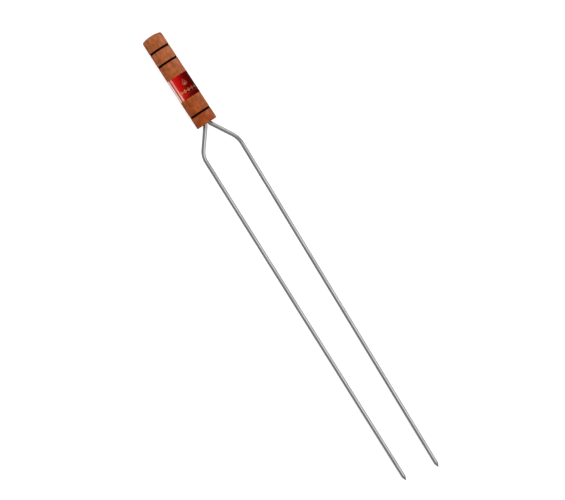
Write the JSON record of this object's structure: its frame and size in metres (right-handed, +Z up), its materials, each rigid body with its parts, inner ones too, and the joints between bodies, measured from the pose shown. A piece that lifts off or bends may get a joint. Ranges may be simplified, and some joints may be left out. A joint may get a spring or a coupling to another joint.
{
  "type": "marshmallow roasting fork",
  "caption": "Long two-prong roasting fork: bent round steel wires with ground points in a turned wooden handle with burnt ring grooves and a label band.",
  "frame": {"origin": "centre of the handle's butt face, flat in the middle", "axes": "+X along the handle towards the prong points, +Y to the left seen from above, +Z up, square to the plane of the prongs"},
  "size_m": [0.7371, 0.0719, 0.0322],
  "materials": {
    "turned_wood": "sanded, thin clear finish, burnt grooves",
    "drawn_steel": "drawn wire, satin",
    "weld_metal": "as welded",
    "cured_resin": "cast, amber",
    "label_film": "glossy printed film"
  },
  "bodies": {
    "root": {"handle": "turned_wood", "left_prong": "drawn_steel", "right_prong": "drawn_steel", "tang_welds": "weld_metal", "tang_adhesive": "cured_resin", "label_band": "label_film"}
  },
  "joints": []
}
